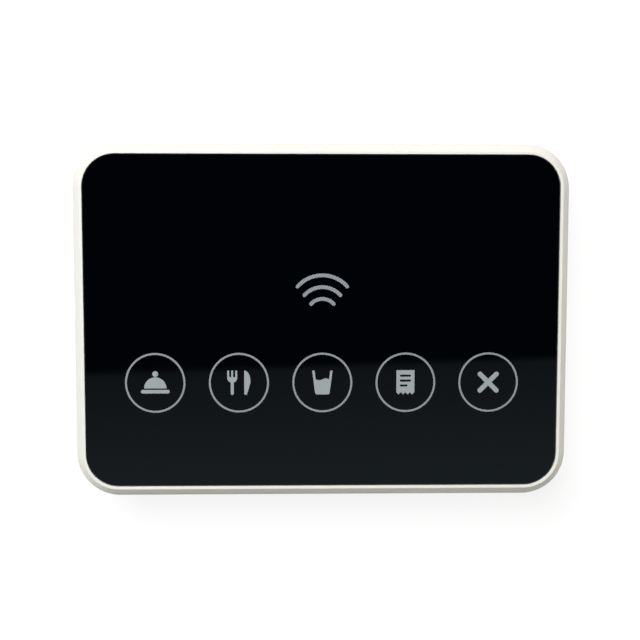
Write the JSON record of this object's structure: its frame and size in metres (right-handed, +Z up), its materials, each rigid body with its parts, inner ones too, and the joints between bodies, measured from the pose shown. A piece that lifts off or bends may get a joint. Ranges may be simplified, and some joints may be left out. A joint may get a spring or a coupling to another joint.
{
  "type": "waiter call button",
  "caption": "Flat table call unit: glossy black touch panel with ringed keys and a signal mark in a white moulded case, with battery door, power switch and pairing button underneath.",
  "frame": {"origin": "middle of the case's outline, on the plane that the feet stand on", "axes": "+Z up out of the touch panel, +X to the user's right along the row of keys, +Y away from the user towards the battery door's edge"},
  "size_m": [0.11, 0.0786, 0.018],
  "materials": {
    "panel_black": "polished black acrylic, printed, with a polished edge",
    "adhesive_black": "black double-sided foam sheet",
    "print_grey": "grey screen print with a fine dot screen",
    "case_white": "white moulded plastic, satin gloss with a fine texture",
    "feet_rubber": "soft black rubber",
    "screw_steel": "zinc-plated steel",
    "board_green": "green solder mask over glass fibre",
    "spring_steel": "plated spring wire",
    "light_white": "white lamp body with a pale yellow window",
    "chip_black": "moulded black chip with tinned pins",
    "resistor_black": "black film on ceramic, with tinned ends",
    "capacitor_can": "bare aluminium can on a black base",
    "buzzer_black": "moulded black plastic",
    "pin_brass": "gold-plated pins in a black strip",
    "resonator_can": "pressed metal lid",
    "aerial_copper": "bare copper wire",
    "switch_black": "moulded black plastic",
    "plunger_black": "moulded black plastic",
    "button_grey": "grey moulded plastic",
    "switch_can": "pressed steel cover",
    "knob_black": "moulded black plastic",
    "cell_jacket": "plain printed jacket with bare metal ends",
    "contact_nickel": "nickel-plated strip and spring wire",
    "lead_red": "red wire sleeve",
    "lead_black": "black wire sleeve"
  },
  "bodies": {
    "case": {"front_panel": "panel_black", "panel_adhesive": "adhesive_black", "key_rings": "print_grey", "signal_mark": "print_grey", "front_case": "case_white", "rear_cover": "case_white", "rubber_feet": "feet_rubber", "case_screws": "screw_steel", "circuit_board": "board_green", "board_screws": "screw_steel", "touch_springs": "spring_steel", "key_lights": "light_white", "signal_light": "light_white", "touch_chip": "chip_black", "control_chip": "chip_black", "series_resistors": "resistor_black", "capacitor": "capacitor_can", "buzzer": "buzzer_black", "transmitter_board": "board_green", "transmitter_header": "pin_brass", "transmitter_resonator": "resonator_can", "transmitter_chip": "chip_black", "aerial_coil": "aerial_copper", "pair_switch": "switch_black", "power_switch": "switch_can", "battery_cells": "cell_jacket", "positive_contact": "contact_nickel", "negative_contact": "contact_nickel", "bridge_contact": "contact_nickel", "positive_lead": "lead_red", "negative_lead": "lead_black"},
    "battery_door": {"battery_door": "case_white"},
    "pair_button": {"pair_button": "button_grey", "pair_switch_plunger": "plunger_black"},
    "power_knob": {"power_switch_knob": "knob_black"}
  },
  "joints": [
    {"name": "battery_door_slide", "type": "slide", "parent": "case", "child": "battery_door", "axis": [0, 1, 0], "range_m": [0, 0.028]},
    {"name": "pair_button_press", "type": "slide", "parent": "case", "child": "pair_button", "axis": [0, 0, 1], "range_m": [0, 0.0003], "stiffness_N_per_m": 1000},
    {"name": "power_switch_slide", "type": "slide", "parent": "case", "child": "power_knob", "axis": [1, 0, 0], "range_m": [0, 0.002]}
  ]
}
